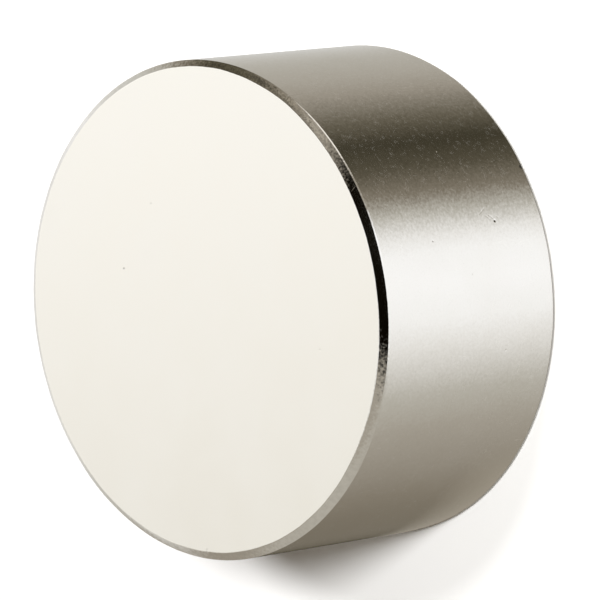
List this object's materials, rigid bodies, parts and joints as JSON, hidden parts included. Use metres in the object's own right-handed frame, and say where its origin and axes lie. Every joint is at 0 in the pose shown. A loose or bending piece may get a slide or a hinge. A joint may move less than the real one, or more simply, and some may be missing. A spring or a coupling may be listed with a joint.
{
  "type": "disc magnet",
  "caption": "Solid round disc magnet with flat ground faces, a ground rim, a small chamfer on both edges and bright nickel plating.",
  "frame": {"origin": "centre of the lower ground face, on the disc's axis", "axes": "+Z along the disc's axis, from the lower face to the upper face; X and Y are free, because the disc is round"},
  "size_m": [0.04, 0.04, 0.02],
  "materials": {
    "nickel_plating": "bright nickel plating, slightly warm, with a fine satin grain and a few small pits"
  },
  "bodies": {
    "root": {"magnet_disc": "nickel_plating"}
  },
  "joints": []
}
